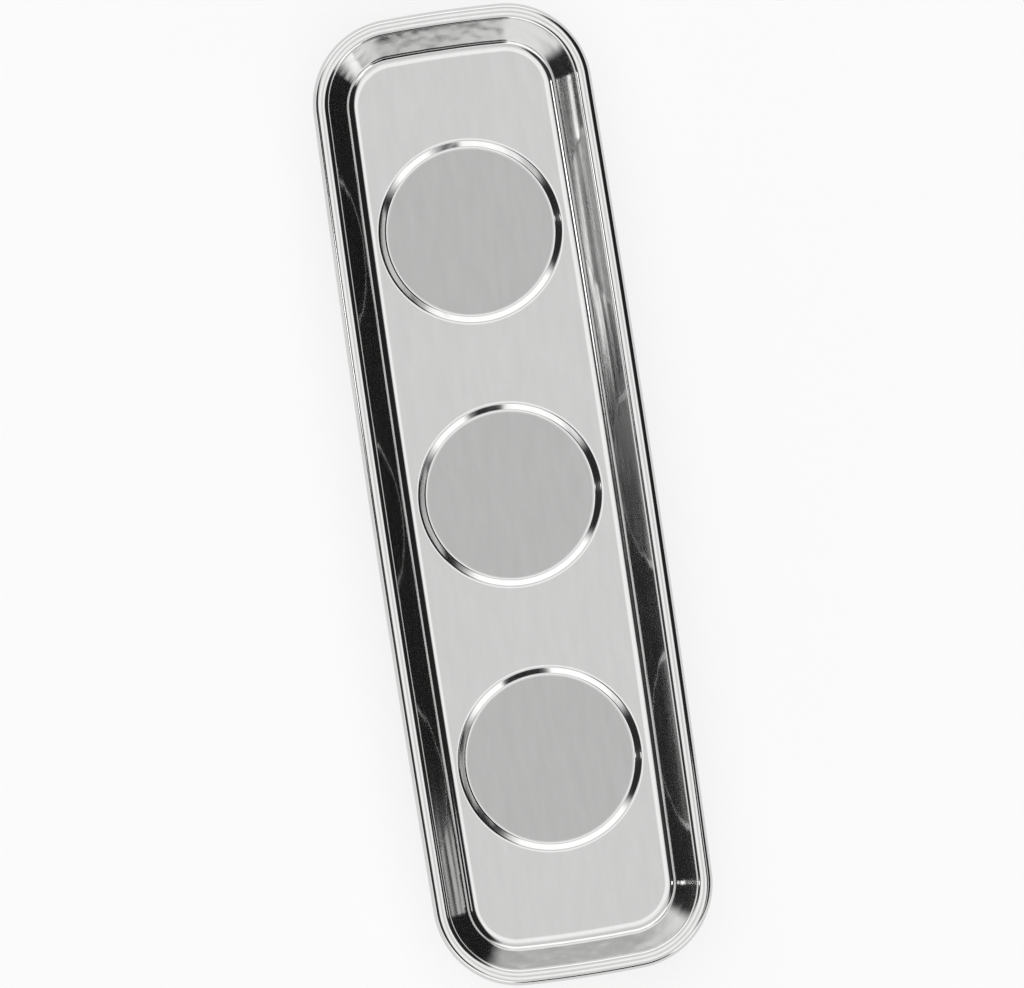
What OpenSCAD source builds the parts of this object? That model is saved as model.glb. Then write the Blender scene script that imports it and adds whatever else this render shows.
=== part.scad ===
/* [Tray] */
// Overall length over the rolled rim
tray_length = 360; // [340:1:420]
// Overall width over the rolled rim at mid-length
tray_width = 106; // [100:1:120]
// Outside corner radius of the rim, seen from above
corner_radius = 31.5; // [26:0.5:38]
// Outward bow of each long side at its middle
side_bow = 1.2; // [0.5:0.1:2]
// Outward bow of each end at its middle
end_bow = 0.5; // [0.2:0.1:1]
// Depth from the top of the rim to the floor
tray_depth = 14.7; // [13:0.1:20]
// Thickness of the stainless sheet
sheet = 0.6; // [0.5:0.05:0.9]
// Inside radius of the bend between floor and wall
floor_bend = 6; // [4:0.25:7]
// Outside diameter of the rolled rim
rim_diameter = 6.6; // [5:0.1:7.5]
// Angle that the rim rolls on past its highest point
rim_roll = 235; // [180:5:240]

/* [Magnet pads] */
// Distance from each end of the tray to the axis of the nearest magnet
magnet_inset = 81.5; // [75:0.5:92]
// Depth of each pad below the floor
pad_drop = 2.2; // [1.6:0.1:2.6]
// Width of the pressed step around each pad
pad_step = 4; // [3.5:0.1:5.5]
// Radius of the two bends in the pressed step, on their inner side
pad_bend = 1.5; // [1:0.1:2]
// Flat floor between the outer pads and the wall bends
pad_margin = 0.1; // [0.1:0.1:3]

/* [Ring magnets] */
// Outside diameter of each ring magnet
magnet_diameter = 55; // [50:0.5:58]
// Bore of each ring magnet
magnet_bore = 24; // [23:0.5:30]
// Height of each ring magnet
magnet_height = 8; // [7:0.1:10]

/* [Clamp plates] */
// Thickness of each clamp plate
plate_sheet = 1.5; // [1:0.1:1.8]
// Width of the sloping wall of the plate's dish
dish_run = 4; // [3.6:0.1:4.5]
// Inner bend radius of the dish
dish_bend = 1; // [0.6:0.1:1.1]

/* [Rubber boots] */
// Wall of each boot around its magnet
boot_wall = 2.5; // [2:0.1:3.2]
// Rubber under the clamp plate
boot_base = 2; // [1.5:0.1:3]
// Rubber between the dish and the flat washer
boot_hub = 1.8; // [1.2:0.1:2.4]
// Radius on the lower outer edge of the boot
boot_edge = 1.4; // [0.5:0.1:1.9]
// Diameter of the well that takes the nut
well_diameter = 13; // [12:0.1:13.4]

/* [Fasteners] */
// Thread diameter of each weld stud
stud_diameter = 5; // [4:0.1:5.2]
// Diameter of the stud's weld flange
flange_diameter = 6.5; // [6:0.1:8]
// Thickness of the stud's weld flange
flange_thickness = 1; // [0.6:0.1:1.4]
// Thread that shows past the nut
stud_past = 0.5; // [0.3:0.1:1]
// Outside diameter of the flat washer
washer_diameter = 10; // [9:0.1:11]
// Thickness of the flat washer
washer_thickness = 1; // [0.6:0.1:1.2]
// Outside diameter of the spring washer
spring_diameter = 9.2; // [8.4:0.1:9.6]
// Thickness of the spring washer
spring_thickness = 1.2; // [0.8:0.1:1.6]
// Width of the split in the spring washer
spring_split = 0.8; // [0.5:0.1:1.5]
// Height of the lock nut
nut_height = 2.7; // [2.2:0.1:3.2]
// Lock nut across its flats
nut_flats = 8; // [7.6:0.1:8.6]

/* [Fits] */
// Gap between magnet and boot, all round
boot_fit = 0.3; // [0.1:0.05:0.6]
// Gap between boot and the edge of the pad's flat underside
nest_fit = 0.5; // [0.3:0.1:1]
// Gap between the plate's dish and the magnet's bore
bore_fit = 0.5; // [0.3:0.1:0.8]
// Gap round the weld flange in the plate's hole
flange_fit = 0.4; // [0.2:0.1:0.6]
// Gap round the stud in the boot's hub and the washers
stud_fit = 0.15; // [0.1:0.05:0.3]
// Gap between the threads of stud and nut
thread_fit = 0.1; // [0.05:0.05:0.15]
// Gap between the stud's end and the bench
bench_fit = 0.6; // [0.3:0.1:1.5]

/* [Hidden] */
STATIONS = ["left", "centre", "right"];
STACK = ["ring_magnet", "clamp_plate", "magnet_boot", "weld_stud", "flat_washer", "spring_washer", "lock_nut"];
$fn = 96;
// Straight pieces that stand for each curve of the swept wall
corner_steps = 12;
side_steps = 6;
end_steps = 4;
bend_steps = 6;
roll_steps = 5;
// How far each cut runs past the face that it opens
overrun = 1;

// Long sides and ends of the rim's outline are shallow arcs
function arc_radius(chord_half, bow) = (chord_half * chord_half + bow * bow) / (2 * bow);
side_r = arc_radius(tray_length / 2 - corner_radius, side_bow);
end_r = arc_radius(tray_width / 2 - corner_radius, end_bow);
// The outer magnets keep their distance from the ends
magnet_pitch = tray_length / 2 - magnet_inset;
// How far a long side has drawn in at the outer magnets
side_draw = side_r - sqrt(side_r * side_r - magnet_pitch * magnet_pitch);

// Radii of one magnet set, from the magnet outwards to the wall
magnet_r = magnet_diameter / 2;
boot_inner_r = magnet_r + boot_fit;
boot_r = boot_inner_r + boot_wall;
pad_flat_r = boot_r + nest_fit;
pad_r = pad_flat_r + pad_step;
floor_half = pad_r + pad_margin + side_draw;
wall_run = tray_width / 2 - floor_half;
dish_foot_r = magnet_bore / 2 - bore_fit;
dish_head_r = dish_foot_r - dish_run;

// Heights above the bench, from the foot upwards
nut_low = bench_fit + stud_past;
spring_low = nut_low + nut_height;
washer_low = spring_low + spring_thickness;
hub_low = washer_low + washer_thickness;
dish_low = hub_low + boot_hub;
plate_low = boot_base;
magnet_low = plate_low + plate_sheet;
pad_low = magnet_low + magnet_height;
floor_low = pad_low + pad_drop;
floor_top = floor_low + sheet;
rim_top = floor_top + tray_depth;

// The rim's outline in plan: the shallow arcs run tangent into the corner arcs
side_centre = [0, tray_width / 2 - side_r];
end_centre = [tray_length / 2 - end_r, 0];
// Point at the given distances from two centres, on the outer side
function meet(a, b, a_dist, b_dist) =
    let (gap = norm(b - a))
    let (along = (a_dist * a_dist - b_dist * b_dist + gap * gap) / (2 * gap))
    let (aside = sqrt(a_dist * a_dist - along * along))
    let (way = (b - a) / gap)
    a + along * way + aside * [-way.y, way.x];
corner = meet(end_centre, side_centre, end_r - corner_radius, side_r - corner_radius);
end_half = atan2(corner.y, corner.x - end_centre.x);
side_half = atan2(corner.x, corner.y - side_centre.y);
// Each arc: centre, radius, first angle, last angle, steps
rim_arcs = [
    [end_centre, end_r, -end_half, end_half, end_steps],
    [corner, corner_radius, end_half, 90 - side_half, corner_steps],
    [side_centre, side_r, 90 - side_half, 90 + side_half, side_steps],
    [[-corner.x, corner.y], corner_radius, 90 + side_half, 180 - end_half, corner_steps],
    [-end_centre, end_r, 180 - end_half, 180 + end_half, end_steps],
    [-corner, corner_radius, 180 + end_half, 270 - side_half, corner_steps],
    [-side_centre, side_r, 270 - side_half, 270 + side_half, side_steps],
    [[corner.x, -corner.y], corner_radius, 270 + side_half, 360 - end_half, corner_steps]
];
// Stations round the rim: centre, radius and angle, each arc without its last point
rim_path = [for (a = rim_arcs, i = [0 : a[4] - 1]) [a[0], a[1], a[2] + (a[3] - a[2]) * i / a[4]]];
// Point of one station, moved out from the rim's outline by offset
function rim_point(station, offset) = station[0] + (station[1] + offset) * [cos(station[2]), sin(station[2])];

function reversed(list) = [for (i = [len(list) - 1 : -1 : 0]) list[i]];
function rest(list) = [for (i = [1 : len(list) - 1]) list[i]];
function mirrored(list) = [for (p = list) [-p.x, p.y]];
function arc(centre, radius, first, last, steps) =
    [for (i = [0 : steps]) centre + radius * [cos(first + (last - first) * i / steps),
                                              sin(first + (last - first) * i / steps)]];
// Slope of the straight wall between two opposite bends that step up from foot to head
function wall_slope(foot, head, lower, upper) =
    let (run = head.x - foot.x)
    let (rise = head.y - foot.y - lower - upper)
    atan2(rise, run) + asin((lower + upper) / norm([run, rise]));
// One face of sheet that steps up from foot to head
function step_face(foot, head, slope, lower, upper) = concat(
    arc(foot + [0, lower], lower, -90, slope - 90, bend_steps),
    arc(head - [0, upper], upper, 90 + slope, 90, bend_steps));
// Upper and lower face of the same stepped sheet
function upper_face(foot, head, lower, upper) =
    step_face(foot, head, wall_slope(foot, head, lower, upper), lower, upper);
function lower_face(foot, head, lower, upper, thick) =
    let (drop = [0, thick])
    step_face(foot - drop, head - drop, wall_slope(foot, head, lower, upper), lower + thick, upper - thick);
// A face that rolls on from its head, over the outer edge and back under
function roll_face(head, radius, roll) =
    let (under_steps = ceil(roll_steps * (roll - 90) / 90))
    concat(rest(arc(head - [0, radius], radius, 90, 0, roll_steps)),
           rest(arc(head - [0, radius], radius, 0, 90 - roll, under_steps)));

// Section of wall and rolled rim, measured out from the rim's outline
rim_r = rim_diameter / 2;
wall_foot = [-wall_run, floor_top];
wall_head = [-rim_r, rim_top];
wall_upper = concat(
    upper_face(wall_foot, wall_head, floor_bend, rim_r),
    roll_face(wall_head, rim_r, rim_roll));
wall_lower = concat(
    lower_face(wall_foot, wall_head, floor_bend, rim_r, sheet),
    roll_face(wall_head - [0, sheet], rim_r - sheet, rim_roll));
wall_section = concat(wall_upper, reversed(wall_lower));

// Section of a pad, drawn on the right of its axis
pad_foot = [pad_flat_r, pad_low + sheet];
pad_head = [pad_r, floor_top];
pad_section = concat(
    [[0, pad_low], [0, pad_foot.y]],
    upper_face(pad_foot, pad_head, pad_bend, pad_bend + sheet),
    reversed(lower_face(pad_foot, pad_head, pad_bend, pad_bend + sheet, sheet)));

// Faces of the clamp plate's dish, drawn on the left of its axis
dish_foot = [-dish_foot_r, magnet_low];
dish_head = [-dish_head_r, dish_low + plate_sheet];
dish_upper = upper_face(dish_foot, dish_head, dish_bend, dish_bend + plate_sheet);
dish_lower = lower_face(dish_foot, dish_head, dish_bend, dish_bend + plate_sheet, plate_sheet);

// Wall and rolled rim: the section swept once round the rim's path
module swept_wall() {
    count = len(wall_section);
    rings = len(rim_path);
    points = [for (s = rim_path, p = wall_section) let (q = rim_point(s, p.x)) [q.x, q.y, p.y]];
    faces = [
        for (i = [0 : rings - 1], j = [0 : count - 1])
            let (a = i * count, b = (i + 1) % rings * count, k = (j + 1) % count)
                each [[a + j, b + j, b + k], [a + j, b + k, a + k]]
    ];
    polyhedron(points, faces);
}

function station_x(i) = (i - (len(STATIONS) - 1) / 2) * magnet_pitch;

module at_stations() {
    for (i = [0 : len(STATIONS) - 1])
        translate([station_x(i), 0, 0])
            children();
}

// Pressed stainless tray: walls with rolled rim, floor, and a sunken pad over each magnet
module tray_shell() {
    color("#c8cacc")
        union() {
            swept_wall();
            translate([0, 0, floor_low])
                linear_extrude(sheet)
                    difference() {
                        polygon([for (s = rim_path) rim_point(s, -wall_run)]);
                        at_stations()
                            circle(pad_r);
                    }
            at_stations()
                rotate_extrude()
                    polygon(pad_section);
        }
}

// Ferrite ring that seats under the pad
module ring_magnet() {
    color("#3c3c40")
        translate([0, 0, magnet_low])
            difference() {
                cylinder(h = magnet_height, r = magnet_r);
                translate([0, 0, -overrun])
                    cylinder(h = magnet_height + 2 * overrun, d = magnet_bore);
            }
}

// Pressed plate under the magnet, dished up into the magnet's bore
module clamp_plate() {
    hole_r = flange_diameter / 2 + flange_fit;
    color("#b9b49a")
        rotate_extrude()
            polygon(mirrored(concat(
                [[-magnet_r, plate_low], [-magnet_r, magnet_low]],
                dish_upper,
                [[-hole_r, dish_head.y], [-hole_r, dish_low]],
                reversed(dish_lower))));
}

// Rubber cup round plate and magnet; its hub fills the dish and holds the well for the nut
module magnet_boot() {
    hole_r = stud_diameter / 2 + stud_fit;
    well_r = well_diameter / 2;
    color("#1c1c1e")
        rotate_extrude()
            polygon(mirrored(concat(
                [[-well_r, hub_low], [-well_r, 0]],
                arc([boot_edge - boot_r, boot_edge], boot_edge, -90, -180, bend_steps),
                [[-boot_r, pad_low], [-boot_inner_r, pad_low], [-boot_inner_r, plate_low]],
                dish_lower,
                [[-hole_r, dish_low], [-hole_r, hub_low]])));
}

// Stud with its weld flange against the underside of the pad
module weld_stud() {
    color("#b4b8bc") {
        translate([0, 0, bench_fit])
            cylinder(h = pad_low - bench_fit, d = stud_diameter);
        translate([0, 0, pad_low - flange_thickness])
            cylinder(h = flange_thickness, d = flange_diameter);
    }
}

// Flat ring with a clearance hole for the stud
module stud_ring(low, thickness, diameter) {
    translate([0, 0, low])
        difference() {
            cylinder(h = thickness, d = diameter);
            translate([0, 0, -overrun])
                cylinder(h = thickness + 2 * overrun, r = stud_diameter / 2 + stud_fit);
        }
}

module flat_washer() {
    color("#c2c6ca")
        stud_ring(washer_low, washer_thickness, washer_diameter);
}

// Split washer, pressed flat by the nut
module spring_washer() {
    color("#8d9196")
        difference() {
            stud_ring(spring_low, spring_thickness, spring_diameter);
            translate([0, -spring_split / 2, spring_low - overrun])
                cube([spring_diameter, spring_split, spring_thickness + 2 * overrun]);
        }
}

// Thin hexagon nut with its corners turned off at both ends
module lock_nut() {
    corner_r = nut_flats / 2 / cos(30);
    turned = corner_r - nut_flats / 2;
    color("#c2c6ca")
        translate([0, 0, nut_low])
            difference() {
                intersection() {
                    cylinder(h = nut_height, r = corner_r, $fn = 6);
                    rotate_extrude()
                        polygon([[0, 0], [corner_r - turned, 0], [corner_r, turned * tan(30)],
                                 [corner_r, nut_height - turned * tan(30)],
                                 [corner_r - turned, nut_height], [0, nut_height]]);
                }
                translate([0, 0, -overrun])
                    cylinder(h = nut_height + 2 * overrun, r = stud_diameter / 2 + thread_fit);
            }
}

tray_shell();
for (i = [0 : len(STATIONS) - 1]) translate([station_x(i), 0, 0]) {
    ring_magnet();
    clamp_plate();
    magnet_boot();
    weld_stud();
    flat_washer();
    spring_washer();
    lock_nut();
}
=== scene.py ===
import math

import bmesh
import bpy
from mathutils import Matrix, Vector
from mathutils.geometry import delaunay_2d_cdt
from mathutils.kdtree import KDTree


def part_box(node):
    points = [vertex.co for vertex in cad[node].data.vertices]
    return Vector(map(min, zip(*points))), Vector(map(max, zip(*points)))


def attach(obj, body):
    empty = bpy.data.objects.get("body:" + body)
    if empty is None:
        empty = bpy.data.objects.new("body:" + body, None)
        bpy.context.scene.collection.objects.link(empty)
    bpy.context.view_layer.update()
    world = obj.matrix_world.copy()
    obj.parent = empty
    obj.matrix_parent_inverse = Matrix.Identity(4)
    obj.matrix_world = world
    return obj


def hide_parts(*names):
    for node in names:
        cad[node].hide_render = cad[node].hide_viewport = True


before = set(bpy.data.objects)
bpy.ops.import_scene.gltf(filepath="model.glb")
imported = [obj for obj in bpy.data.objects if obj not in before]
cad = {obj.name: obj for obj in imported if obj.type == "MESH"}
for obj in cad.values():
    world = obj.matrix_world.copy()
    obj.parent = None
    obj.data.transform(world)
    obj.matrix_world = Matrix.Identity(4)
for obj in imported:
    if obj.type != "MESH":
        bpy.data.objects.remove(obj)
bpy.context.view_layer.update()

scene = bpy.context.scene
mm = 0.001
quarterTurn = math.pi / 2
fullTurn = 2 * math.pi
places = ("left", "centre", "right")
print("Frame loaded,", len(cad), "solids")


# Node helpers

# Adds a node; an input given as a socket is linked, any other is set
def addNode(tree, kind, inputs=None, **settings):
    node = tree.nodes.new(kind)
    for key, value in settings.items():
        setattr(node, key, value)
    for key, value in (inputs or {}).items():
        if isinstance(value, bpy.types.NodeSocket):
            tree.links.new(value, node.inputs[key])
        else:
            node.inputs[key].default_value = value
    return node


def calc(tree, operation, first, second=0.0):
    return addNode(tree, "ShaderNodeMath", {0: first, 1: second}, operation=operation).outputs[0]


def minus(tree, value):
    return calc(tree, "MULTIPLY", value, -1.0)


def mapRange(tree, value, low, high, start=0.0, end=1.0, **settings):
    inputs = {"Value": value, "From Min": low, "From Max": high, "To Min": start, "To Max": end}
    return addNode(tree, "ShaderNodeMapRange", inputs, **settings).outputs[0]


# A Mix node keeps its colours at inputs 6 and 7 and their mix at output 2
def mixColours(tree, factor, first, second, blend="MIX"):
    inputs = {"Factor": factor, 6: first, 7: second}
    return addNode(tree, "ShaderNodeMix", inputs, data_type="RGBA", blend_type=blend).outputs[2]


def newTree(name, kind, inputs, outputs):
    tree = bpy.data.node_groups.new(name, kind)
    for label, socket in inputs:
        tree.interface.new_socket(label, in_out="INPUT", socket_type="NodeSocket" + socket)
    for label, socket in outputs:
        tree.interface.new_socket(label, in_out="OUTPUT", socket_type="NodeSocket" + socket)
    return tree, tree.nodes.new("NodeGroupInput").outputs, tree.nodes.new("NodeGroupOutput")


# Runs a geometry tree on an outline and keeps the result as a plain mesh
def shapeFrom(name, tree, mesh, values):
    obj = bpy.data.objects.new(name, mesh)
    scene.collection.objects.link(obj)
    modifier = obj.modifiers.new(tree.name, "NODES")
    modifier.node_group = tree
    for item in tree.interface.items_tree:
        if item.in_out == "INPUT" and item.name in values:
            modifier[item.identifier] = values[item.name]
    shape = bpy.data.meshes.new_from_object(obj.evaluated_get(bpy.context.evaluated_depsgraph_get()))
    obj.modifiers.remove(modifier)
    obj.data = shape
    shape.name = name
    return obj


# Shared finish effects

grainShape = {
    "roughness": 0.6,
    "low": 0.3,  # noise at and below this is the grain's dark end
    "high": 0.7,
}
markShape = {
    "bendScale": 40.0,
    "bendDetail": 1.0,
    "bendReach": 12.0 * mm,  # how far noise bends the marks
    "breakScale": 90.0,
    "breakDetail": 2.0,
    "breakLow": 0.52,  # noise under this leaves no mark
    "breakHigh": 0.62,
}


def fineGrainGroup():
    tree, given, result = newTree(
        "fineGrain", "ShaderNodeTree",
        [("Scale", "Float"), ("Stretch", "Vector"), ("Detail", "Float")],
        [("Mask", "Float")])
    spot = addNode(tree, "ShaderNodeTexCoord").outputs["Object"]
    pulled = addNode(tree, "ShaderNodeMapping", {"Vector": spot, "Scale": given["Stretch"]}).outputs["Vector"]
    noise = addNode(tree, "ShaderNodeTexNoise",
                    {"Vector": pulled, "Scale": given["Scale"], "Detail": given["Detail"],
                     "Roughness": grainShape["roughness"]}).outputs[0]
    spread = mapRange(tree, noise, grainShape["low"], grainShape["high"])
    tree.links.new(spread, result.inputs["Mask"])
    return tree


# Thin marks from handling: cracks between bent cells, broken up by noise
def rubMarksGroup():
    tree, given, result = newTree(
        "rubMarks", "ShaderNodeTree",
        [("Scale", "Float"), ("Width", "Float")],
        [("Mask", "Float")])
    spot = addNode(tree, "ShaderNodeTexCoord").outputs["Object"]
    bend = addNode(tree, "ShaderNodeTexNoise",
                   {"Vector": spot, "Scale": markShape["bendScale"],
                    "Detail": markShape["bendDetail"]}).outputs["Color"]
    moved = addNode(tree, "ShaderNodeVectorMath",
                    {0: bend, 1: [markShape["bendReach"]] * 3}, operation="MULTIPLY").outputs[0]
    warped = addNode(tree, "ShaderNodeVectorMath", {0: spot, 1: moved}, operation="ADD").outputs[0]
    cells = addNode(tree, "ShaderNodeTexVoronoi", {"Vector": warped, "Scale": given["Scale"]},
                    feature="DISTANCE_TO_EDGE").outputs["Distance"]
    line = mapRange(tree, cells, 0.0, given["Width"], 1.0, 0.0)
    breaks = addNode(tree, "ShaderNodeTexNoise",
                     {"Vector": spot, "Scale": markShape["breakScale"],
                      "Detail": markShape["breakDetail"]}).outputs[0]
    kept = mapRange(tree, breaks, markShape["breakLow"], markShape["breakHigh"])
    tree.links.new(calc(tree, "MULTIPLY", line, kept), result.inputs["Mask"])
    return tree


fineGrain = fineGrainGroup()
rubMarks = rubMarksGroup()


# One finish: two tones and two roughness values mixed by grain, with rub marks and a fine bump
def finish(name, look):
    material = bpy.data.materials.new(name)
    material.use_nodes = True
    tree = material.node_tree
    tree.nodes.clear()
    grain = addNode(tree, "ShaderNodeGroup",
                    {"Scale": look["grainScale"], "Stretch": look["grainStretch"],
                     "Detail": look["grainDetail"]}, node_tree=fineGrain).outputs["Mask"]
    marks = addNode(tree, "ShaderNodeGroup",
                    {"Scale": look["markScale"], "Width": look["markWidth"]},
                    node_tree=rubMarks).outputs["Mask"]
    colour = mixColours(tree, grain, (*look["lowTone"], 1), (*look["highTone"], 1))
    dull = mapRange(tree, grain, 0.0, 1.0, look["smooth"], look["rough"])
    roughness = calc(tree, "ADD", dull, calc(tree, "MULTIPLY", marks, look["markDulls"]))
    if "padTone" in look:  # the pressed flats have their own duller finish
        pad = addNode(tree, "ShaderNodeAttribute", attribute_name="padFlat").outputs["Fac"]
        colour = mixColours(tree, pad, colour, (*look["padTone"], 1), "MULTIPLY")
        roughness = calc(tree, "ADD", roughness, calc(tree, "MULTIPLY", pad, look["padDulls"]))
    normal = addNode(tree, "ShaderNodeBump",
                     {"Height": grain, "Strength": look["bump"], "Distance": look["bumpDepth"]}).outputs[0]
    if "streakScale" in look:  # long shallow waves left by rolling and pressing the sheet
        streak = addNode(tree, "ShaderNodeGroup",
                         {"Scale": look["streakScale"], "Stretch": look["streakStretch"],
                          "Detail": look["streakDetail"]}, node_tree=fineGrain).outputs["Mask"]
        normal = addNode(tree, "ShaderNodeBump",
                         {"Height": streak, "Strength": 1.0, "Distance": look["streakDepth"],
                          "Normal": normal}).outputs[0]
    shader = addNode(tree, "ShaderNodeBsdfPrincipled",
                     {"Base Color": colour, "Roughness": roughness, "Normal": normal,
                      "Metallic": look["metal"]})
    addNode(tree, "ShaderNodeOutputMaterial", {"Surface": shader.outputs[0]})
    return material


evenGrain = (1.0, 1.0, 1.0)
alongSheet = (0.25, 1.0, 1.0)  # grain pulled out along the tray
downThread = (1.0, 1.0, 0.3)  # and upright on the fasteners
stainless = finish("stainless", {
    "lowTone": (0.64, 0.64, 0.635), "highTone": (0.67, 0.67, 0.665), "metal": 1.0,
    "smooth": 0.075, "rough": 0.11,
    "grainScale": 260.0, "grainStretch": alongSheet, "grainDetail": 4.0,
    "markScale": 55.0, "markWidth": 0.006, "markDulls": 0.01,
    "bump": 0.03, "bumpDepth": 0.02 * mm,
    "padTone": (0.77, 0.77, 0.77), "padDulls": 0.04,
    "streakScale": 140.0, "streakStretch": (0.08, 1.0, 1.0), "streakDetail": 1.0,
    "streakDepth": 0.045 * mm})
bootRubber = finish("bootRubber", {
    "lowTone": (0.016, 0.016, 0.017), "highTone": (0.03, 0.03, 0.031), "metal": 0.0,
    "smooth": 0.55, "rough": 0.75,
    "grainScale": 900.0, "grainStretch": evenGrain, "grainDetail": 3.0,
    "markScale": 80.0, "markWidth": 0.01, "markDulls": 0.12,
    "bump": 0.25, "bumpDepth": 0.05 * mm})
ferrite = finish("ferrite", {
    "lowTone": (0.045, 0.045, 0.05), "highTone": (0.09, 0.09, 0.095), "metal": 0.0,
    "smooth": 0.5, "rough": 0.7,
    "grainScale": 1200.0, "grainStretch": evenGrain, "grainDetail": 6.0,
    "markScale": 120.0, "markWidth": 0.012, "markDulls": 0.1,
    "bump": 0.3, "bumpDepth": 0.05 * mm})
zincPlate = finish("zincPlate", {
    "lowTone": (0.5, 0.47, 0.36), "highTone": (0.62, 0.6, 0.5), "metal": 1.0,
    "smooth": 0.28, "rough": 0.42,
    "grainScale": 500.0, "grainStretch": evenGrain, "grainDetail": 4.0,
    "markScale": 70.0, "markWidth": 0.01, "markDulls": 0.1,
    "bump": 0.08, "bumpDepth": 0.03 * mm})
zincFastener = finish("zincFastener", {
    "lowTone": (0.55, 0.56, 0.58), "highTone": (0.68, 0.69, 0.71), "metal": 1.0,
    "smooth": 0.22, "rough": 0.36,
    "grainScale": 1500.0, "grainStretch": downThread, "grainDetail": 3.0,
    "markScale": 250.0, "markWidth": 0.015, "markDulls": 0.12,
    "bump": 0.08, "bumpDepth": 0.02 * mm})
springSteel = finish("springSteel", {
    "lowTone": (0.3, 0.3, 0.32), "highTone": (0.42, 0.42, 0.44), "metal": 1.0,
    "smooth": 0.3, "rough": 0.45,
    "grainScale": 1500.0, "grainStretch": downThread, "grainDetail": 3.0,
    "markScale": 250.0, "markWidth": 0.015, "markDulls": 0.1,
    "bump": 0.1, "bumpDepth": 0.02 * mm})
print("Finishes made")


# Steps that finished pieces share

def pieceFrom(name, bm, material):
    bmesh.ops.recalc_face_normals(bm, faces=bm.faces)
    mesh = bpy.data.meshes.new(name)
    bm.to_mesh(mesh)
    bm.free()
    mesh.materials.append(material)
    mesh.polygons.foreach_set("material_index", [0] * len(mesh.polygons))
    obj = bpy.data.objects.new(name, mesh)
    scene.collection.objects.link(obj)
    return obj


# Edges that turn by more than sharp degrees stay crisp
def handOver(obj, node, sharp):
    mesh = obj.data
    mesh.polygons.foreach_set("use_smooth", [True] * len(mesh.polygons))
    mesh.set_sharp_from_angle(angle=math.radians(sharp))
    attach(obj, "root")
    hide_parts(node)


# Tray shell

tray = {
    "cornerRadius": 31.5 * mm,
    "sideBow": 1.2 * mm,
    "endBow": 0.5 * mm,
    "sheet": 0.6 * mm,
    "depth": 14.7 * mm,
    "floorBend": 6.0 * mm,
    "rimRadius": 3.3 * mm,
    "rimRoll": 235.0,  # degrees past the top of the rolled rim
    "padFlat": 30.8 * mm,
    "padStep": 4.0 * mm,
    "padBend": 1.5 * mm,
    "padMargin": 0.1 * mm,
    "flatRings": (0.985, 0.95, 0.5),  # shares of the flat's radius
    "ripple": 0.02 * mm,  # how far the thin floor strays from flat
    "rippleFade": 8.0 * mm,
    "rippleWaves": ((19.0, 7.0, 0.4), (31.0, -23.0, 1.7), (11.0, 41.0, 2.9)),  # half waves a metre, phase
    "floorGrid": 4.0 * mm,
    "collar": 0.5 * mm,  # narrow row of faces along the edges of the floor
    "collarShare": 0.7,  # floor points nearer to an edge than this share of the collar are left out
    "weld": 1e-7,
    "cornerSteps": 40,
    "sideSteps": 24,
    "endSteps": 16,
    "bendSteps": 18,
    "rimSteps": 56,
    "padSteps": 180,
    "padBendSteps": 12,
    "sharp": 50,
}
halfLength, halfWidth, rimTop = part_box("tray_shell")[1]
floorTop = rimTop - tray["depth"]
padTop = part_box("magnet_boot_centre")[1].z + tray["sheet"]
padRadius = tray["padFlat"] + tray["padStep"]
stationX = [sum(corner.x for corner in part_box("magnet_boot_" + spot)) / 2 for spot in places]


def arcRadius(half, bow):
    return (half * half + bow * bow) / (2 * bow)


def arcPoints(centre, radius, first, last, steps):
    turns = [first + (last - first) * i / steps for i in range(steps)]
    return [(centre[0] + radius * math.cos(t), centre[1] + radius * math.sin(t)) for t in turns]


# Slope of the straight sheet between two opposite bends that step up by rise over run
def stepSlope(run, rise, lower, upper):
    rise -= lower + upper
    return math.atan2(rise, run) + math.asin((lower + upper) / math.hypot(run, rise))


# Bowed ends and sides, joined by corner arcs without kinks
def rimOutline():
    corner = tray["cornerRadius"]
    sideRadius = arcRadius(halfLength - corner, tray["sideBow"])
    endRadius = arcRadius(halfWidth - corner, tray["endBow"])
    sideY = halfWidth - sideRadius
    endX = halfLength - endRadius
    # Hub of the corner arc, which lies inside both shallow arcs
    endCentre = Vector((endX, 0))
    sideCentre = Vector((0, sideY))
    endReach = endRadius - corner
    sideReach = sideRadius - corner
    gap = (sideCentre - endCentre).length
    along = (endReach ** 2 - sideReach ** 2 + gap ** 2) / (2 * gap)
    aside = math.sqrt(endReach ** 2 - along ** 2)
    way = (sideCentre - endCentre) / gap
    hub = endCentre + along * way + aside * Vector((-way.y, way.x))
    endHalf = math.atan2(hub.y, hub.x - endX)
    sideHalf = math.atan2(hub.x, hub.y - sideY)
    points = []
    for turn, sign in ((0, 1), (math.pi, -1)):
        first, last = turn - endHalf, turn + endHalf
        points += arcPoints((sign * endX, 0), endRadius, first, last, tray["endSteps"])
        first, last = last, turn + quarterTurn - sideHalf
        points += arcPoints((sign * hub.x, sign * hub.y), corner, first, last, tray["cornerSteps"])
        first, last = last, turn + quarterTurn + sideHalf
        points += arcPoints((0, sign * sideY), sideRadius, first, last, tray["sideSteps"])
        first, last = last, turn + math.pi - endHalf
        points += arcPoints((-sign * hub.x, sign * hub.y), corner, first, last, tray["cornerSteps"])
    return points


# How far the bowed side has drawn in at the outer pads
def sideDraw():
    radius = arcRadius(halfLength - tray["cornerRadius"], tray["sideBow"])
    return radius - math.sqrt(radius ** 2 - max(stationX) ** 2)


def outlineMesh(points):
    mesh = bpy.data.meshes.new("outline")
    count = len(points)
    mesh.from_pydata([(x, y, 0) for x, y in points], [(i, (i + 1) % count) for i in range(count)], [])
    return mesh


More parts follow.
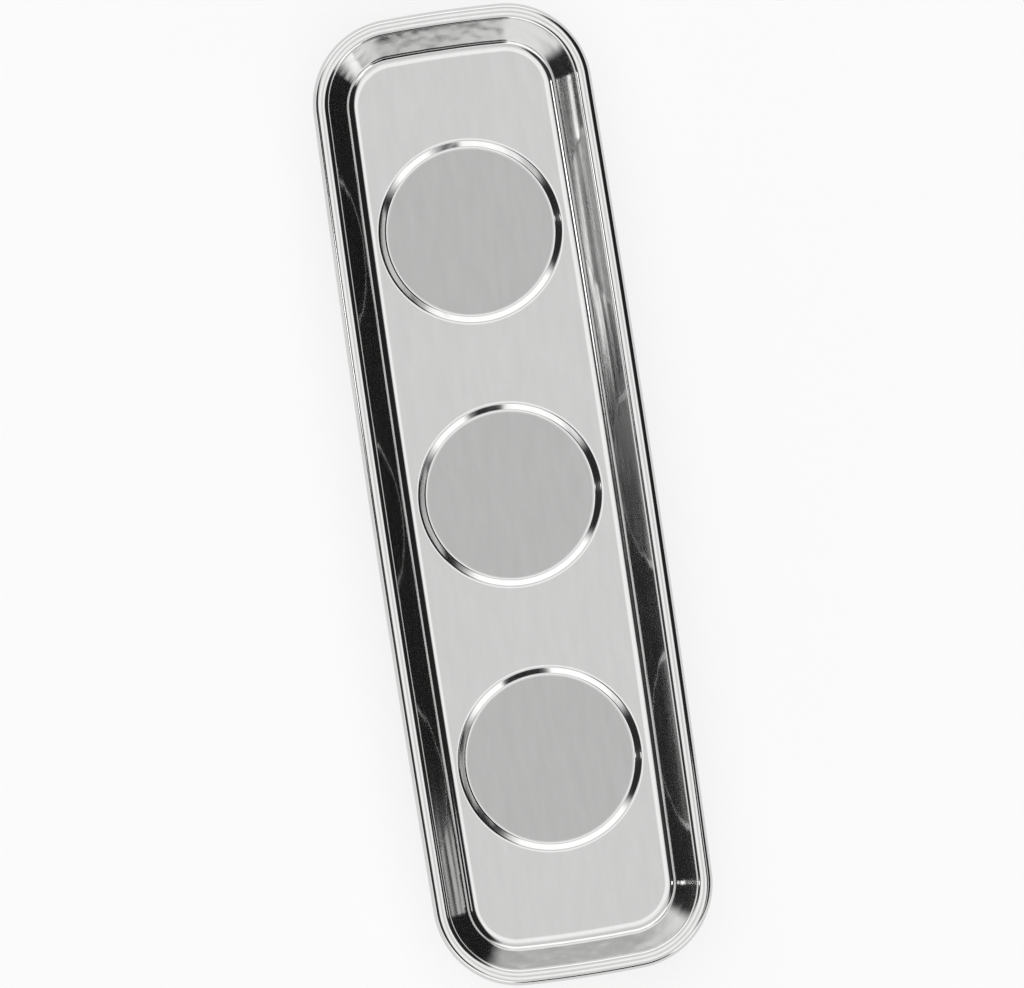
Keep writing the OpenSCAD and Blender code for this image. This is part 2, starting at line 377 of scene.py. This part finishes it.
# Sheet that steps up along an outline: bend, straight, opposite bend, which may roll on over its top
def steppedSheetTree():
    tree, given, result = newTree(
        "steppedSheet", "GeometryNodeTree",
        [("Outline", "Geometry"), ("Foot Offset", "Float"), ("Foot Height", "Float"),
         ("Head Offset", "Float"), ("Head Height", "Float"), ("Slope", "Float"), ("Lower Bend", "Float"),
         ("Upper Bend", "Float"), ("Roll", "Float"), ("Sheet", "Float"), ("Bend Steps", "Int"),
         ("Roll Steps", "Int"), ("Closed Edge", "Bool"), ("Material", "Material")],
        [("Geometry", "Geometry")])
    slope = given["Slope"]
    lowY = minus(tree, calc(tree, "ADD", given["Foot Height"], given["Lower Bend"]))
    highY = minus(tree, calc(tree, "SUBTRACT", given["Head Height"], given["Upper Bend"]))
    lowCentre = addNode(tree, "ShaderNodeCombineXYZ", {"X": given["Foot Offset"], "Y": lowY}).outputs[0]
    highCentre = addNode(tree, "ShaderNodeCombineXYZ", {"X": given["Head Offset"], "Y": highY}).outputs[0]
    lowUnder = calc(tree, "ADD", given["Lower Bend"], given["Sheet"])
    highUnder = calc(tree, "SUBTRACT", given["Upper Bend"], given["Sheet"])
    back = minus(tree, slope)
    rollSweep = calc(tree, "ADD", slope, given["Roll"])
    rollBack = minus(tree, rollSweep)
    lowEnd = calc(tree, "SUBTRACT", quarterTurn, slope)
    highStart = calc(tree, "SUBTRACT", back, quarterTurn)
    highEnd = calc(tree, "SUBTRACT", given["Roll"], quarterTurn)
    # Each arc: centre, radius, start, sweep, steps, and 0 for the upper face or 1 for the lower
    arcs = [
        (lowCentre, given["Lower Bend"], quarterTurn, back, given["Bend Steps"], 0),
        (highCentre, given["Upper Bend"], highStart, rollSweep, given["Roll Steps"], 0),
        (highCentre, highUnder, highEnd, rollBack, given["Roll Steps"], 1),
        (lowCentre, lowUnder, lowEnd, slope, given["Bend Steps"], 1),
    ]
    joined = addNode(tree, "GeometryNodeJoinGeometry")
    for centre, radius, start, sweep, steps, face in reversed(arcs):  # the last link joins first
        arc = addNode(tree, "GeometryNodeCurveArc",
                      {"Resolution": steps, "Radius": radius, "Start Angle": start, "Sweep Angle": sweep})
        moved = addNode(tree, "GeometryNodeTransform",
                        {"Geometry": arc.outputs["Curve"], "Translation": centre})
        dots = addNode(tree, "GeometryNodeCurveToPoints", {"Curve": moved.outputs[0]}, mode="EVALUATED")
        tagged = addNode(tree, "GeometryNodeStoreNamedAttribute",
                         {"Geometry": dots.outputs["Points"], "Name": "face", "Value": face},
                         data_type="INT", domain="POINT")
        tree.links.new(tagged.outputs[0], joined.inputs[0])
    # A closed edge makes one loop of both faces, an open one leaves them apart
    side = addNode(tree, "GeometryNodeInputNamedAttribute", {"Name": "face"}, data_type="INT").outputs[0]
    group = addNode(tree, "GeometryNodeSwitch",
                    {"Switch": given["Closed Edge"], "False": side, "True": 0}, input_type="INT").outputs[0]
    section = addNode(tree, "GeometryNodePointsToCurves",
                      {"Points": joined.outputs[0], "Curve Group ID": group})
    path = addNode(tree, "GeometryNodeMeshToCurve", {"Mesh": given["Outline"]})
    upright = addNode(tree, "GeometryNodeSetCurveNormal", {"Curve": path.outputs[0]}, mode="Z_UP")
    swept = addNode(tree, "GeometryNodeCurveToMesh",
                    {"Curve": upright.outputs[0], "Profile Curve": section.outputs[0]})
    real = addNode(tree, "GeometryNodeRealizeInstances", {"Geometry": swept.outputs[0]})
    painted = addNode(tree, "GeometryNodeSetMaterial",
                      {"Geometry": real.outputs[0], "Material": given["Material"]})
    tree.links.new(painted.outputs[0], result.inputs["Geometry"])
    return tree


# Moves a shape's mesh into the shell and gives its points there
def takeIn(bm, obj):
    first = len(bm.verts)
    bm.from_mesh(obj.data)
    bm.verts.ensure_lookup_table()
    bpy.data.objects.remove(obj)
    return list(bm.verts)[first:]


# Wall with its rolled rim; gives the upper and lower loop where the floor meets it
def addWall(bm, tree):
    outline = rimOutline()
    run = halfWidth - (padRadius + tray["padMargin"] + sideDraw())
    rim = tray["rimRadius"]
    wall = takeIn(bm, shapeFrom("rolledWall", tree, outlineMesh(outline), {
        "Foot Offset": -run, "Foot Height": floorTop, "Head Offset": -rim, "Head Height": rimTop,
        "Slope": stepSlope(run - rim, tray["depth"], tray["floorBend"], rim),
        "Lower Bend": tray["floorBend"], "Upper Bend": rim, "Roll": math.radians(tray["rimRoll"]),
        "Sheet": tray["sheet"], "Bend Steps": tray["bendSteps"], "Roll Steps": tray["rimSteps"],
        "Closed Edge": True, "Material": stainless}))
    span = len(wall) // len(outline)
    return wall[0::span], wall[span - 1::span]


# Fills a pad's circle with rings, marked for the duller finish
def closeFlat(bm, flatLayer, edge, x, level):
    ring = edge
    for share in tray["flatRings"]:
        inner = [bm.verts.new((x + (v.co.x - x) * share, v.co.y * share, level)) for v in edge]
        for i, v in enumerate(inner):
            v[flatLayer] = 1.0
            bm.faces.new((ring[i - 1], ring[i], v, inner[i - 1]))
        ring = inner
    bm.faces.new(ring)


# Sunken pad: a step swept round its circle, closed by its flat; gives its loops as the wall does
def addPad(bm, tree, flatLayer, x):
    sheet = tray["sheet"]
    lowerBend = tray["padBend"]
    upperBend = lowerBend + sheet
    circle = arcPoints((x, 0), tray["padFlat"], 0, fullTurn, tray["padSteps"])
    pad = takeIn(bm, shapeFrom("sunkenPad", tree, outlineMesh(circle), {
        "Foot Offset": 0.0, "Foot Height": padTop, "Head Offset": tray["padStep"], "Head Height": floorTop,
        "Slope": stepSlope(tray["padStep"], floorTop - padTop, lowerBend, upperBend),
        "Lower Bend": lowerBend, "Upper Bend": upperBend, "Roll": 0.0, "Sheet": sheet,
        "Bend Steps": tray["padBendSteps"], "Roll Steps": tray["padBendSteps"],
        "Closed Edge": False, "Material": stainless}))
    half = len(pad) // 2
    steps = half // len(circle)
    upper, lower = pad[:half], pad[half:]
    closeFlat(bm, flatLayer, upper[0::steps], x, padTop)
    closeFlat(bm, flatLayer, lower[steps - 1::steps], x, padTop - sheet)
    return upper[steps - 1::steps], lower[0::steps]


# Low waves of the thin floor between the pads
def floorWave(x, y):
    waves = tray["rippleWaves"]
    return sum(math.sin(a * x * math.pi + b * y * math.pi + c) for a, b, c in waves) / len(waves)


# Free points of the floor with their lift: an even grid, and a collar along the wall and each pad
def floorPoints(edgePoints, wallCount):
    nearest = KDTree(len(edgePoints))
    for i, p in enumerate(edgePoints):
        nearest.insert(p.to_3d(), i)
    nearest.balance()
    grid = tray["floorGrid"]
    collar = tray["collar"]
    columns, rows = int(halfLength / grid), int(halfWidth / grid)
    spots = [Vector((grid * i, grid * (j + 0.5 * (i % 2))))
             for i in range(-columns, columns + 1) for j in range(-rows, rows + 1)]
    spots += [p - p.normalized() * collar for p in edgePoints[:wallCount]]
    for x in stationX:
        ring = arcPoints((x, 0), padRadius + collar, 0, fullTurn, tray["padSteps"])
        spots += [Vector(p) for p in ring]
    points = []
    for p in spots:
        reach = nearest.find(p.to_3d())[2]
        if reach < tray["collarShare"] * collar:
            continue
        fade = min(1.0, reach / tray["rippleFade"])
        points.append((p, tray["ripple"] * fade * floorWave(p.x, p.y)))
    return points


# Upper and lower floor between the wall's bend and the pads
def addFloor(bm, loops):
    points, edges, tops, bottoms = [], [], [], []
    for top, bottom in loops:
        first = len(points)
        points += [v.co.to_2d() for v in top]
        tops += top
        bottoms += bottom
        edges += [(first + i, first + (i + 1) % len(top)) for i in range(len(top))]
    for p, lift in floorPoints(points, len(loops[0][0])):
        points.append(p)
        tops.append((p.x, p.y, floorTop + lift))
        bottoms.append((p.x, p.y, floorTop - tray["sheet"] + lift))
    insideOnly = 1  # leaves out the triangles outside the wall's loop
    flat, _, faces, origins = delaunay_2d_cdt(points, edges, [], insideOnly, tray["weld"])[:4]
    made = {}

    def pointOn(side, index):
        if (side, index) not in made:
            known = (tops, bottoms)[side][origins[index][0]]
            made[side, index] = known if isinstance(known, bmesh.types.BMVert) else bm.verts.new(known)
        return made[side, index]

    for face in faces:
        middle = sum((flat[i] for i in face), Vector((0, 0))) / len(face)
        if any((middle - Vector((x, 0))).length < padRadius for x in stationX):
            continue
        bm.faces.new([pointOn(0, i) for i in face])
        bm.faces.new([pointOn(1, i) for i in reversed(face)])


def buildTray():
    tree = steppedSheetTree()
    bm = bmesh.new()
    flatLayer = bm.verts.layers.float.new("padFlat")
    loops = [addWall(bm, tree)]
    loops += [addPad(bm, tree, flatLayer, x) for x in stationX]
    addFloor(bm, loops)
    openEdges = sum(1 for e in bm.edges if not e.is_manifold)
    shell = pieceFrom("trayShell", bm, stainless)
    handOver(shell, "tray_shell", tray["sharp"])
    print("Tray shell:", len(shell.data.polygons), "faces,", openEdges, "open edges")


buildTray()


# Rubber boots

boot = {
    "edge": 1.4 * mm,
    "topEdge": 0.35 * mm,
    "mouthEdge": 0.6 * mm,
    "wellRadius": 6.5 * mm,
    "holeRadius": 2.65 * mm,
    "magnetFit": 0.3 * mm,
    "dishFoot": 11.5 * mm,
    "dishHead": 7.5 * mm,
    "hub": 1.8 * mm,
    "steps": 144,
    "edgeSteps": 6,
    "sharp": 40,
}


# Closed section (radius, height) of one boot, round its hub, well, foot, wall and cavity
def bootSection(node):
    low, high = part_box(node)
    radius = (high.x - low.x) / 2
    top = high.z
    spot = node.split("_")[-1]
    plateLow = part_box("clamp_plate_" + spot)[0].z
    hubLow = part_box("flat_washer_" + spot)[1].z
    dishLow = hubLow + boot["hub"]
    magnetLow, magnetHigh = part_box("ring_magnet_" + spot)
    inner = (magnetHigh.x - magnetLow.x) / 2 + boot["magnetFit"]
    well, hole = boot["wellRadius"], boot["holeRadius"]
    mouth, edge, lip = boot["mouthEdge"], boot["edge"], boot["topEdge"]
    steps = boot["edgeSteps"]
    points = [(hole, dishLow), (hole, hubLow), (well, hubLow)]
    points += arcPoints((well + mouth, mouth), mouth, 2 * quarterTurn, 3 * quarterTurn, steps)
    points += [(well + mouth, 0)]
    points += arcPoints((radius - edge, edge), edge, 3 * quarterTurn, 4 * quarterTurn, steps)
    points += [(radius, edge)]
    points += arcPoints((radius - lip, top - lip), lip, 0, quarterTurn, steps)
    points += [(radius - lip, top)]
    points += arcPoints((inner + lip, top - lip), lip, quarterTurn, 2 * quarterTurn, steps)
    points += [(inner, top - lip), (inner, plateLow)]
    return points + [(boot["dishFoot"], plateLow), (boot["dishHead"], dishLow)]


# Turns a section round an upright axis at x
def turned(name, section, x, steps, material):
    bm = bmesh.new()
    turns = [fullTurn * i / steps for i in range(steps)]
    rings = [[bm.verts.new((x + r * math.cos(t), r * math.sin(t), z)) for r, z in section] for t in turns]
    for i, ring in enumerate(rings):
        for j, vert in enumerate(ring):
            bm.faces.new((rings[i - 1][j - 1], ring[j - 1], vert, rings[i - 1][j]))
    return pieceFrom(name, bm, material)


for spot, x in zip(places, stationX):
    node = "magnet_boot_" + spot
    piece = turned("boot." + spot, bootSection(node), x, boot["steps"], bootRubber)
    handOver(piece, node, boot["sharp"])
print("Boots turned")


# Weld studs with a cut thread

stud = {
    "radius": 2.5 * mm,
    "pitch": 0.8 * mm,
    "threadDepth": 0.42 * mm,
    "chamfer": 0.45 * mm,
    "flange": 1.0 * mm,
    "sides": 36,
    "rows": 150,
    "sharp": 50,
}


# Rod whose points move in along a helix, with a chamfered tip below and a flange on top
def threadedStudTree():
    tree, given, result = newTree(
        "threadedStud", "GeometryNodeTree",
        [("Geometry", "Geometry"), ("Radius", "Float"), ("Pitch", "Float"), ("Thread Depth", "Float"),
         ("Chamfer", "Float"), ("Low", "Float"), ("High", "Float"), ("Flange Low", "Float"),
         ("Flange Radius", "Float"), ("Station", "Float"), ("Sides", "Int"), ("Rows", "Int"),
         ("Material", "Material")],
        [("Geometry", "Geometry")])
    length = calc(tree, "SUBTRACT", given["High"], given["Low"])
    rod = addNode(tree, "GeometryNodeMeshCylinder",
                  {"Vertices": given["Sides"], "Side Segments": given["Rows"], "Radius": given["Radius"],
                   "Depth": length}, fill_type="NGON")
    position = addNode(tree, "GeometryNodeInputPosition").outputs[0]
    spot = addNode(tree, "ShaderNodeSeparateXYZ", {0: position}).outputs
    half = calc(tree, "MULTIPLY", calc(tree, "ADD", given["High"], given["Low"]), 0.5)
    height = calc(tree, "ADD", spot["Z"], half)
    turn = calc(tree, "DIVIDE", calc(tree, "ARCTAN2", spot["Y"], spot["X"]), fullTurn)
    phase = calc(tree, "SUBTRACT", calc(tree, "DIVIDE", height, given["Pitch"]), turn)
    groove = calc(tree, "MULTIPLY", calc(tree, "PINGPONG", phase, 0.5), 2.0)  # 0 at crests, 1 at roots
    cut = calc(tree, "SUBTRACT", given["Radius"], calc(tree, "MULTIPLY", groove, given["Thread Depth"]))
    tip = calc(tree, "SUBTRACT", calc(tree, "ADD", given["Radius"], height),
               calc(tree, "ADD", given["Low"], given["Chamfer"]))
    rodRadius = calc(tree, "MINIMUM", cut, tip)
    atFlange = calc(tree, "GREATER_THAN", height, given["Flange Low"])
    radius = addNode(tree, "GeometryNodeSwitch",
                     {"Switch": atFlange, "False": rodRadius, "True": given["Flange Radius"]},
                     input_type="FLOAT").outputs[0]
    scale = calc(tree, "DIVIDE", radius, given["Radius"])
    where = addNode(tree, "ShaderNodeCombineXYZ",
                    {"X": calc(tree, "ADD", calc(tree, "MULTIPLY", spot["X"], scale), given["Station"]),
                     "Y": calc(tree, "MULTIPLY", spot["Y"], scale), "Z": height}).outputs[0]
    cutRod = addNode(tree, "GeometryNodeSetPosition", {"Geometry": rod.outputs["Mesh"], "Position": where})
    real = addNode(tree, "GeometryNodeRealizeInstances", {"Geometry": cutRod.outputs[0]})
    painted = addNode(tree, "GeometryNodeSetMaterial",
                      {"Geometry": real.outputs[0], "Material": given["Material"]})
    tree.links.new(painted.outputs[0], result.inputs["Geometry"])
    return tree


studTree = threadedStudTree()
for spot, x in zip(places, stationX):
    node = "weld_stud_" + spot
    low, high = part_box(node)
    piece = shapeFrom("stud." + spot, studTree, bpy.data.meshes.new("blank"), {
        "Radius": stud["radius"], "Pitch": stud["pitch"], "Thread Depth": stud["threadDepth"],
        "Chamfer": stud["chamfer"], "Low": low.z, "High": high.z, "Flange Low": high.z - stud["flange"],
        "Flange Radius": (high.x - low.x) / 2, "Station": x, "Sides": stud["sides"], "Rows": stud["rows"],
        "Material": zincFastener})
    handOver(piece, node, stud["sharp"])
print("Studs threaded")


# Finishes on the solids that stay as they are

keptFinish = {
    "ring_magnet": ferrite,
    "clamp_plate": zincPlate,
    "flat_washer": zincFastener,
    "spring_washer": springSteel,
    "lock_nut": zincFastener,
}
for piece, material in keptFinish.items():
    for spot in places:
        for holder in cad[piece + "_" + spot].material_slots:
            holder.material = material
print("Solids finished")


# Studio

studio = {
    "lens": 300.0,
    "sensor": 36.0,
    "sight": 50.0,  # how far the lens sees, in metres
    "frameWidth": 376.2 * mm,  # what the picture's width covers at the rim
    "lean": 8.6,  # degrees that the tray's far end leans to the left
    "viewLeft": 3.7,  # degrees that the lens stands left of straight above
    "viewBelow": 2.8,
    "aim": (-0.45 * mm, 0.5 * mm),
    "floorSize": 10.0,
    "floorDrop": 0.05 * mm,  # keeps the floor just clear of the boots
    "floorTone": (0.97, 0.97, 0.97),
    "cloudScale": 3.0,
    "cloudShare": 0.98,  # of the floor's tone, where its faint clouds are darkest
    "floorGlow": 0.75,
}


# Pale floor, partly glowing to the lens and in reflections, so that its shadow stays but its grey goes
def buildFloor():
    material = bpy.data.materials.new("paleFloor")
    material.use_nodes = True
    tree = material.node_tree
    tree.nodes.clear()
    spot = addNode(tree, "ShaderNodeTexCoord").outputs["Object"]
    cloud = addNode(tree, "ShaderNodeTexNoise", {"Vector": spot, "Scale": studio["cloudScale"]}).outputs[0]
    darker = [studio["cloudShare"] * c for c in studio["floorTone"]]
    tone = mixColours(tree, cloud, (*studio["floorTone"], 1), (*darker, 1))
    matt = addNode(tree, "ShaderNodeBsdfDiffuse", {"Color": tone})
    glow = addNode(tree, "ShaderNodeEmission", {"Strength": 1.0})
    rays = addNode(tree, "ShaderNodeLightPath").outputs
    seen = calc(tree, "MAXIMUM", rays["Is Camera Ray"],
                calc(tree, "MAXIMUM", rays["Is Glossy Ray"], rays["Is Transmission Ray"]))
    share = calc(tree, "MULTIPLY", seen, studio["floorGlow"])
    both = addNode(tree, "ShaderNodeMixShader", {0: share, 1: matt.outputs[0], 2: glow.outputs[0]})
    addNode(tree, "ShaderNodeOutputMaterial", {"Surface": both.outputs[0]})
    size = studio["floorSize"]
    level = -studio["floorDrop"]
    corners = [(-size, -size, level), (size, -size, level), (size, size, level), (-size, size, level)]
    mesh = bpy.data.meshes.new("studioFloor")
    mesh.from_pydata(corners, [], [(0, 1, 2, 3)])
    mesh.materials.append(material)
    obj = bpy.data.objects.new("studioFloor", mesh)
    scene.collection.objects.link(obj)


# Soft light from all round, broken by dark cards; angles in degrees, "off" is off the vertical
light = {
    "dome": [(0, 0.92), (9, 0.93), (17, 1.3), (34, 1.3), (44, 1.08), (54, 0.86), (66.8, 0.84),
             (70.3, 1.55), (83, 1.55), (90, 0.9)],  # angle off, brightness
    "top": 2.0,  # brightness that the white of the dome's ramp stands for
}
cards = {
    "right": {"azimuth": 280, "off": 64, "halfWidth": 46, "halfHeight": 30, "soft": 0.18, "level": 0.02},
    "left": {"azimuth": 106, "off": 58, "halfWidth": 46, "halfHeight": 13, "soft": 0.2, "level": 0.05},
    "lowLeft": {"azimuth": 83, "off": 72, "halfWidth": 34, "halfHeight": 9, "soft": 0.2, "level": 0.03},
    "nearEnd": {"azimuth": 191, "off": 81, "halfWidth": 18, "halfHeight": 10, "soft": 0.12, "level": 0.02},
}
boxes = {
    "leftBox": {"centre": (0.29, 3.0, 1.42), "size": (0.18, 0.5), "brightness": 3.4},
    "rightBox": {"centre": (-0.25, -0.45, 0.3), "size": (0.28, 0.07), "brightness": 1.0},
}


# Brightness of the bare dome in a direction
def domeLevel(tree, off):
    horizon = light["dome"][-1][0]
    ramp = addNode(tree, "ShaderNodeValToRGB", {"Fac": mapRange(tree, off, 0, horizon)})
    stops = ramp.color_ramp.elements
    for i, (angle, brightness) in enumerate(light["dome"]):
        if i == len(stops):
            stops.new(angle / horizon)
        stops[i].position = angle / horizon
        level = brightness / light["top"]
        stops[i].color = (level, level, level, 1)
    return calc(tree, "MULTIPLY", ramp.outputs["Color"], light["top"])


# How much of one card a direction meets, from 0 to 1
def cardMask(tree, axes, off, card):
    azimuth = math.radians(card["azimuth"])
    toX, toY = math.cos(azimuth), math.sin(azimuth)
    ahead = calc(tree, "ADD", calc(tree, "MULTIPLY", axes["X"], toX),
                 calc(tree, "MULTIPLY", axes["Y"], toY))
    aside = calc(tree, "SUBTRACT", calc(tree, "MULTIPLY", axes["Y"], toX),
                 calc(tree, "MULTIPLY", axes["X"], toY))
    turn = calc(tree, "DEGREES", calc(tree, "ARCTAN2", aside, ahead))
    across = calc(tree, "DIVIDE", turn, card["halfWidth"])
    down = calc(tree, "DIVIDE", calc(tree, "SUBTRACT", off, card["off"]), card["halfHeight"])
    reach = calc(tree, "SQRT", calc(tree, "ADD", calc(tree, "MULTIPLY", across, across),
                                    calc(tree, "MULTIPLY", down, down)))
    soft = card["soft"]
    return mapRange(tree, reach, 1 - soft, 1 + soft, 1.0, 0.0, interpolation_type="SMOOTHSTEP")


def buildLight():
    world = bpy.data.worlds.new("softStudio")
    scene.world = world
    world.use_nodes = True
    tree = world.node_tree
    tree.nodes.clear()
    way = addNode(tree, "ShaderNodeTexCoord").outputs["Generated"]
    axes = addNode(tree, "ShaderNodeSeparateXYZ", {"Vector": way}).outputs
    off = calc(tree, "DEGREES", calc(tree, "ARCCOSINE", axes["Z"]))
    level = domeLevel(tree, off)
    for card in cards.values():
        mask = cardMask(tree, axes, off, card)
        level = addNode(tree, "ShaderNodeMix", {0: mask, 2: level, 3: card["level"]},
                        data_type="FLOAT").outputs[0]
    colour = addNode(tree, "ShaderNodeCombineColor", {0: level, 1: level, 2: level}).outputs[0]
    sky = addNode(tree, "ShaderNodeBackground", {"Color": colour, "Strength": 1.0})
    addNode(tree, "ShaderNodeOutputWorld", {"Surface": sky.outputs[0]})


# Two softboxes, one far and one near, that face the tray's long axis
def buildBoxes():
    for name, box in boxes.items():
        data = bpy.data.lights.new(name, "AREA")
        data.shape = "RECTANGLE"
        data.size, data.size_y = box["size"]
        data.energy = box["brightness"] * math.pi * data.size * data.size_y
        lamp = bpy.data.objects.new(name, data)
        spot = Vector(box["centre"])
        along = Vector((1, 0, 0))
        inward = Vector((0, -spot.y, -spot.z)).normalized()
        turn = Matrix((along, -inward.cross(along), -inward)).transposed()
        lamp.matrix_world = Matrix.Translation(spot) @ turn.to_4x4()
        scene.collection.objects.link(lamp)


def buildCamera():
    data = bpy.data.cameras.new("topCamera")
    data.lens = studio["lens"]
    data.sensor_width = studio["sensor"]
    data.clip_end = studio["sight"]
    camera = bpy.data.objects.new("topCamera", data)
    scene.collection.objects.link(camera)
    reach = studio["frameWidth"] * studio["lens"] / studio["sensor"]
    lean = math.radians(studio["lean"])
    upward = Vector((math.cos(lean), -math.sin(lean), 0))
    leftward = Vector((math.sin(lean), math.cos(lean), 0))
    back = Vector((0, 0, 1)) + leftward * math.tan(math.radians(studio["viewLeft"]))
    back = (back - upward * math.tan(math.radians(studio["viewBelow"]))).normalized()
    right = upward.cross(back).normalized()
    turn = Matrix((right, back.cross(right), back)).transposed()
    aim = Vector((*studio["aim"], rimTop))
    camera.matrix_world = Matrix.Translation(aim + back * reach) @ turn.to_4x4()
    scene.camera = camera


buildFloor()
buildLight()
buildBoxes()
buildCamera()
scene.view_settings.view_transform = "Standard"
print("Studio set")
